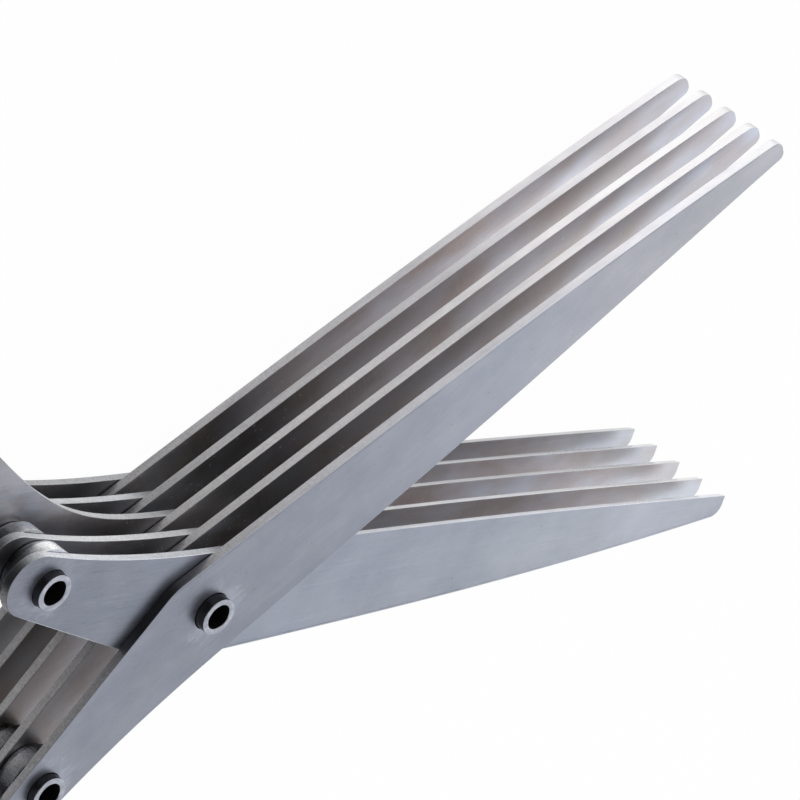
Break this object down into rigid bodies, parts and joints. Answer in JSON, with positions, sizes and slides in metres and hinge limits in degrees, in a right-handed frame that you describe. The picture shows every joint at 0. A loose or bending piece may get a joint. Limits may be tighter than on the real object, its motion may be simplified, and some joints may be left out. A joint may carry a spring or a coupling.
{
  "type": "herb scissors",
  "caption": "Open herb scissors with a stack of parallel steel blades on each side, held by tube rivets and stepped spacers, with looped plastic handles and soft finger linings.",
  "frame": {"origin": "centre of the footprint of the whole object, lying on its side, at the height of its lowest point, the pivot rivet's lower end", "axes": "+X from the handles towards the tips along the middle of the opening, +Y towards the tips of half A, +Z along the pivot towards the front blade"},
  "size_m": [0.1802, 0.1276, 0.0211],
  "materials": {
    "satin_steel": "satin, blue-grey, with faint mottling and light scratches",
    "turned_steel": "turned, fairly bright",
    "washer_steel": "plain, half bright",
    "handle_plastic": "matte, near black",
    "grip_rubber": "soft touch, leaf green"
  },
  "bodies": {
    "half_b": {"blade_b1": "satin_steel", "blade_b2": "satin_steel", "blade_b3": "satin_steel", "blade_b4": "satin_steel", "blade_b5": "satin_steel", "pivot_rivet": "turned_steel", "pivot_washer_1": "washer_steel", "pivot_washer_2": "washer_steel", "pivot_washer_3": "washer_steel", "pivot_washer_4": "washer_steel", "tang_rivet_b": "turned_steel", "tang_spacer_b1": "turned_steel", "tang_spacer_b2": "turned_steel", "tang_spacer_b3": "turned_steel", "tang_spacer_b4": "turned_steel", "handle_b": "handle_plastic", "grip_lining_b": "grip_rubber"},
    "half_a": {"blade_a1": "satin_steel", "blade_a2": "satin_steel", "blade_a3": "satin_steel", "blade_a4": "satin_steel", "blade_a5": "satin_steel", "tang_rivet_a": "turned_steel", "tang_spacer_a1": "turned_steel", "tang_spacer_a2": "turned_steel", "tang_spacer_a3": "turned_steel", "tang_spacer_a4": "turned_steel", "handle_a": "handle_plastic", "grip_lining_a": "grip_rubber"}
  },
  "joints": [
    {"name": "blades_pivot", "type": "hinge", "parent": "half_b", "child": "half_a", "pos_m": [0.00376, 0, 0.01055], "axis": [0, 0, 1], "range_deg": [-34, 26]}
  ]
}
